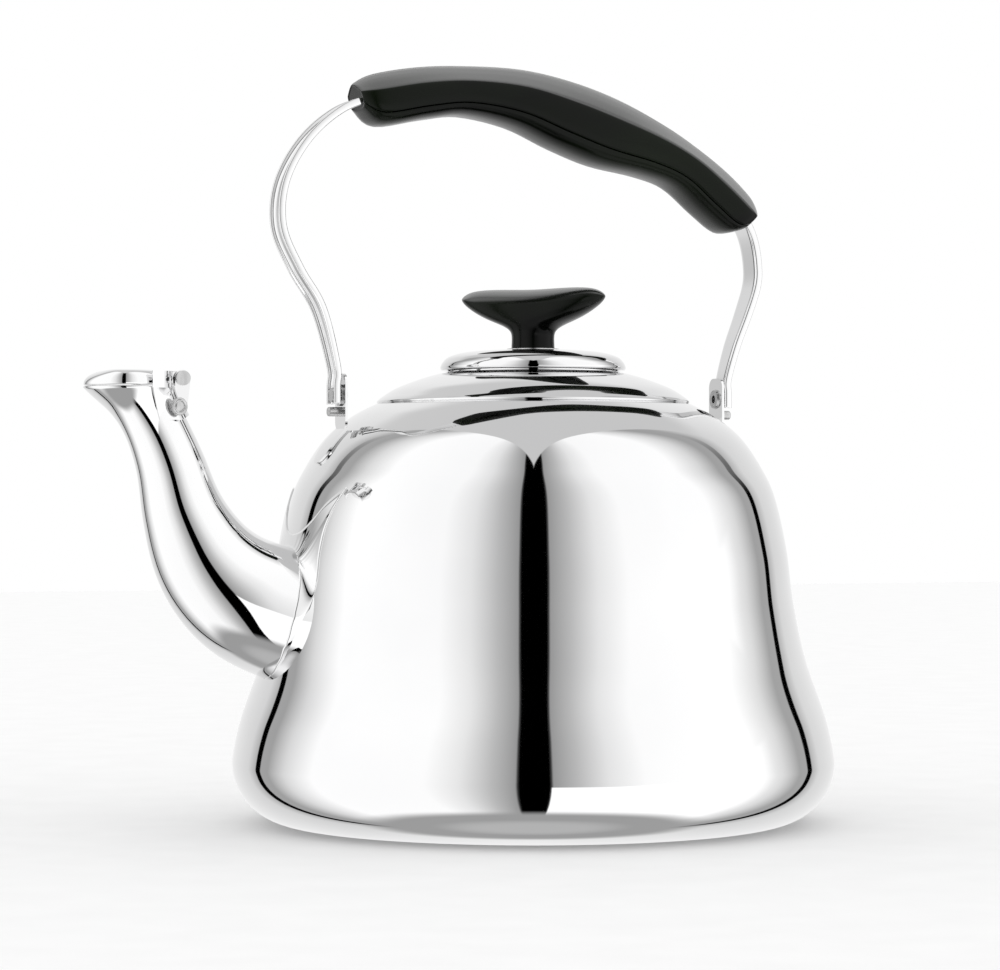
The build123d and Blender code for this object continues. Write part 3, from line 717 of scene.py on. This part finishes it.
def gripSection(tall, across):
    # right half of a section from the middle underneath up to the crown: height share and side
    wide = across / 2
    return [(tall * u, wide * y) for u, y in [
        (0.0, 0.0), (0.004, 0.30), (0.02, 0.52), (0.055, 0.72), (0.10, 0.85), (0.15, 0.915), (0.195, 0.945),
        (0.225, 0.957), (0.30, 0.985), (0.42, 1.0), (0.52, 0.995), (0.59, 0.975),
        (0.635, 0.945), (0.665, 0.90), (0.70, 0.83), (0.79, 0.65), (0.88, 0.45), (0.96, 0.22), (1.0, 0.0)]]


def makeGrip(name, upper):
    shape = gripShape
    rings = []
    for lowX, lowZ, highX, highZ, across in smoothThrough(shape["stations"], 5):
        run, rise = highX - lowX, highZ - lowZ
        tall = math.hypot(run, rise)
        edge = tall * shape["parting"]
        half = gripSection(tall, across)
        if upper:
            half = [(edge + shape["gap"], 0.0), (edge + shape["gap"], half[7][1] - 0.5)] + half[7:]
        else:
            half = half[:7] + [(edge - shape["gap"], half[6][1] - 0.5), (edge - shape["gap"], 0.0)]
        section = half + [(u, -y) for u, y in reversed(half[1:-1])]
        rings.append([(lowX + run * u / tall, y, lowZ + rise * u / tall) for u, y in section])
    return ringPiece(name, rings)


settle(makeGrip("gripUpper", True), "handle", bakelite, "black_bakelite", "grip_upper")
settle(makeGrip("gripLower", False), "handle", bakelite, "black_bakelite", "grip_lower")
print("arms and grip shaped")

# camera, light and floor

view = {
    "yaw": 21.0, "distance": 1.247, "height": 0.1195, "aside": 0.0121,
    "lens": 122.4, "sensor": 36.0, "rise": 0.0106,
}


def makeCamera():
    yaw = math.radians(view["yaw"])
    forward = Vector((math.sin(yaw), math.cos(yaw), 0))
    right = Vector((math.cos(yaw), -math.sin(yaw), 0))
    spot = -forward * view["distance"] - right * view["aside"] + Vector((0, 0, view["height"]))
    bpy.ops.object.camera_add(location=spot, rotation=(math.radians(90), 0, -yaw))
    camera = bpy.context.object
    camera.data.lens = view["lens"]
    camera.data.sensor_width = view["sensor"]
    camera.data.shift_y = view["rise"]
    bpy.context.scene.camera = camera


# studio as seen by the steel: angle round from the camera in degrees, brightness
studio = {
    "round": [(0, 0.0), (6.2, 0.0), (7.0, 0.36), (16, 0.56), (28, 0.90), (42, 1.12), (92, 1.16), (108, 0.8),
              (120, 0.40), (128, 0.42), (138, 0.75), (180, 0.95)],
    # dark edge of the cloth behind: its two sides, their softness, the heights it fades over
    "line": (126.5, 130.0), "lineSoft": 0.004, "lineFade": (0.75, 0.25),
    # pale ceiling between the tents: how wide it opens, its edge and the height it starts at
    "above": 0.66, "opening": 1.95, "ceilingEdge": (0.51, 0.49), "ceilingFrom": (0.55, 0.70),
    # bright sheet low on the right: its lift round the side, its top, start and end
    "sheet": 1.22, "sheetRise": 0.36, "sheetRiseOver": (0.14, 0.60), "sheetTop": (-0.10, -0.13),
    "sheetStart": (0.034, 0.037), "sheetEnd": (0.58, 0.50),
    # table at a distance and close under the kettle
    "below": 0.38, "belowFrom": (-0.77, -0.88), "under": 0.52, "underFrom": (-0.93, -0.99),
    # strength of the light on dull finishes, brightness of the plain background
    "fill": 1.08, "backdrop": 1.0,
}


def makeStudio():
    world = bpy.data.worlds.new("studio")
    bpy.context.scene.world = world
    world.use_nodes = True
    tree = world.node_tree
    link = tree.links.new
    background = tree.nodes["Background"]
    place = tree.nodes.new("ShaderNodeTexCoord")
    turn = tree.nodes.new("ShaderNodeVectorRotate")
    turn.rotation_type = "Z_AXIS"
    turn.inputs["Angle"].default_value = math.radians(view["yaw"])
    link(place.outputs["Generated"], turn.inputs["Vector"])
    split = tree.nodes.new("ShaderNodeSeparateXYZ")
    link(turn.outputs["Vector"], split.inputs["Vector"])

    def maths(operation, first, second=None):
        node = tree.nodes.new("ShaderNodeMath")
        node.operation = operation
        for socket, value in zip(node.inputs, (first, second)):
            if value is None:
                continue
            if isinstance(value, (int, float)):
                socket.default_value = value
            else:
                link(value, socket)
        return node.outputs["Value"]

    toCamera = maths("MULTIPLY", split.outputs["Y"], -1.0)
    around = maths("ABSOLUTE", maths("ARCTAN2", split.outputs["X"], toCamera))
    share = maths("DIVIDE", around, math.pi)
    ramp = tree.nodes.new("ShaderNodeValToRGB")
    stops = studio["round"]
    peak = max(bright for _, bright in stops)
    while len(ramp.color_ramp.elements) < len(stops):
        ramp.color_ramp.elements.new(0.5)
    for element, (angle, bright) in zip(ramp.color_ramp.elements, stops):
        element.position = angle / 180.0
        element.color = (bright / peak, bright / peak, bright / peak, 1)
    link(share, ramp.inputs["Fac"])
    sides = maths("MULTIPLY", ramp.outputs["Color"], peak)

    def rampOver(value, low, high):
        step = tree.nodes.new("ShaderNodeMapRange")
        step.interpolation_type = "SMOOTHSTEP"
        step.inputs["From Min"].default_value = low
        step.inputs["From Max"].default_value = high
        link(value, step.inputs["Value"])
        return step.outputs["Result"]

    wide = maths("MULTIPLY", maths("ABSOLUTE", split.outputs["X"]), studio["opening"])
    overhead = maths("MULTIPLY", rampOver(maths("ADD", toCamera, wide), *studio["ceilingEdge"]),
                     rampOver(split.outputs["Z"], *studio["ceilingFrom"]))
    lift = maths("MULTIPLY", rampOver(share, *studio["sheetRiseOver"]), studio["sheetRise"])
    sheetEdge = maths("SUBTRACT", split.outputs["Z"], lift)
    onRight = rampOver(split.outputs["X"], 0.0, 0.002)
    sheet = maths("MULTIPLY", rampOver(sheetEdge, *studio["sheetTop"]), onRight)
    sheet = maths("MULTIPLY", sheet, rampOver(share, *studio["sheetStart"]))
    sheet = maths("MULTIPLY", sheet, rampOver(share, *studio["sheetEnd"]))
    below = rampOver(split.outputs["Z"], *studio["belowFrom"])
    under = rampOver(split.outputs["Z"], *studio["underFrom"])
    lineStart, lineEnd = (angle / 180.0 for angle in studio["line"])
    lineIn = rampOver(share, lineStart - studio["lineSoft"], lineStart)
    line = maths("MULTIPLY", lineIn, rampOver(share, lineEnd + studio["lineSoft"], lineEnd))
    line = maths("MULTIPLY", line, rampOver(split.outputs["Z"], *studio["lineFade"]))

    def blend(factor, first, second):
        keep = maths("MULTIPLY", first, maths("SUBTRACT", 1.0, factor))
        return maths("ADD", keep, maths("MULTIPLY", factor, second))

    pattern = blend(line, sides, 0.0)
    pattern = blend(sheet, pattern, studio["sheet"])
    pattern = blend(overhead, pattern, studio["above"])
    pattern = blend(below, pattern, studio["below"])
    pattern = blend(under, pattern, studio["under"])
    ray = tree.nodes.new("ShaderNodeLightPath")
    lit = blend(ray.outputs["Is Diffuse Ray"], pattern, studio["fill"])
    lit = blend(ray.outputs["Is Camera Ray"], lit, studio["backdrop"])
    link(lit, background.inputs["Color"])


floorLook = {
    "size": 6.0, "gap": 0.0002, "grain": 40.0, "rough": 0.9,
    "dark": (0.91, 0.91, 0.91), "light": (0.93, 0.93, 0.93),
}


def makeFloor():
    deselectAll()
    bpy.ops.mesh.primitive_plane_add(size=floorLook["size"], location=(0, 0, cadLow[2] - floorLook["gap"]))
    floor = bpy.context.object
    floor.name = "floor"
    material, tree, shader = newFinish("paleFloor")
    grain = addNoise(tree, floorLook["grain"], 2)
    tint = addRamp(tree, grain.outputs["Fac"], [(0.3, floorLook["dark"]), (0.7, floorLook["light"])])
    tree.links.new(tint, shader.inputs["Base Color"])
    shader.inputs["Roughness"].default_value = floorLook["rough"]
    shader.inputs["Specular IOR Level"].default_value = 0.0
    floor.data.materials.append(material)
    floor.visible_glossy = False


makeCamera()
makeStudio()
makeFloor()
# the body is seen without the spout mirrored in it
for piece in (spoutTube, spoutCollar):
    piece.visible_glossy = False
bpy.context.scene.view_settings.view_transform = "Standard"
print("camera, studio and floor set")
